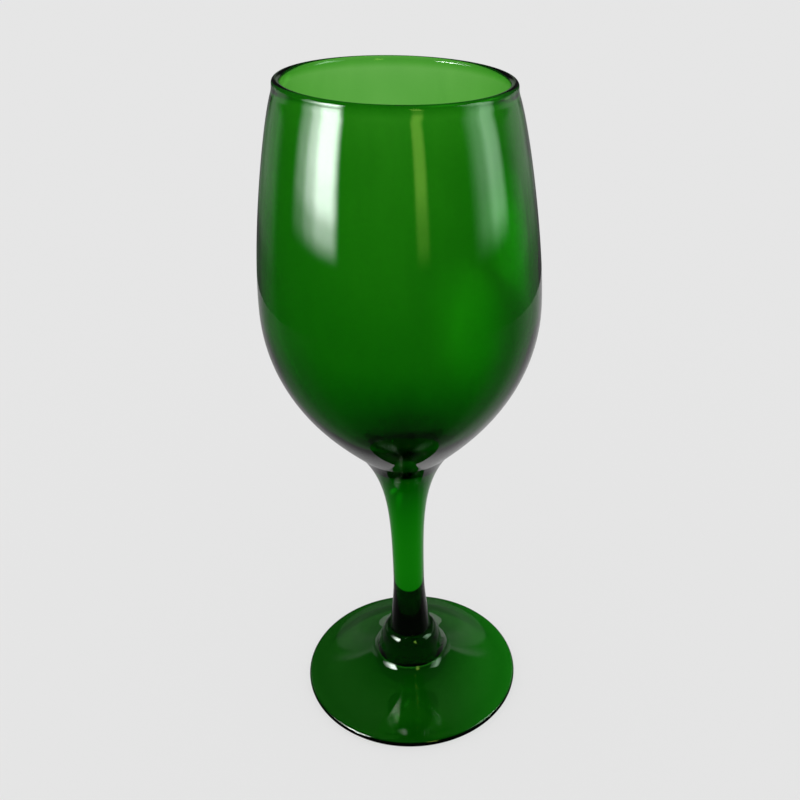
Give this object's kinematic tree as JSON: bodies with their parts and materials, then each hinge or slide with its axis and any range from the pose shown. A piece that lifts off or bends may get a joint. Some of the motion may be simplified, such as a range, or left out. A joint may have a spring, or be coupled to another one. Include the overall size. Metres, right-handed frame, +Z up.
{
  "type": "wine glass",
  "caption": "Stemmed wine glass in solid-coloured green glass: tulip bowl with a rounded rim, slender flared stem and round pressed foot.",
  "frame": {"origin": "on the axis of revolution, in the plane that the foot rests on", "axes": "+Z up along the axis of revolution, from the foot to the rim; X and Y are free, as the glass is a body of revolution"},
  "size_m": [0.0804, 0.0804, 0.205],
  "materials": {
    "bowl_glass": "clear fire-polished green glass",
    "stem_glass": "clear fire-polished green glass, solid section",
    "foot_glass": "clear pressed green glass"
  },
  "bodies": {
    "root": {"bowl": "bowl_glass", "stem": "stem_glass", "foot": "foot_glass"}
  },
  "joints": []
}
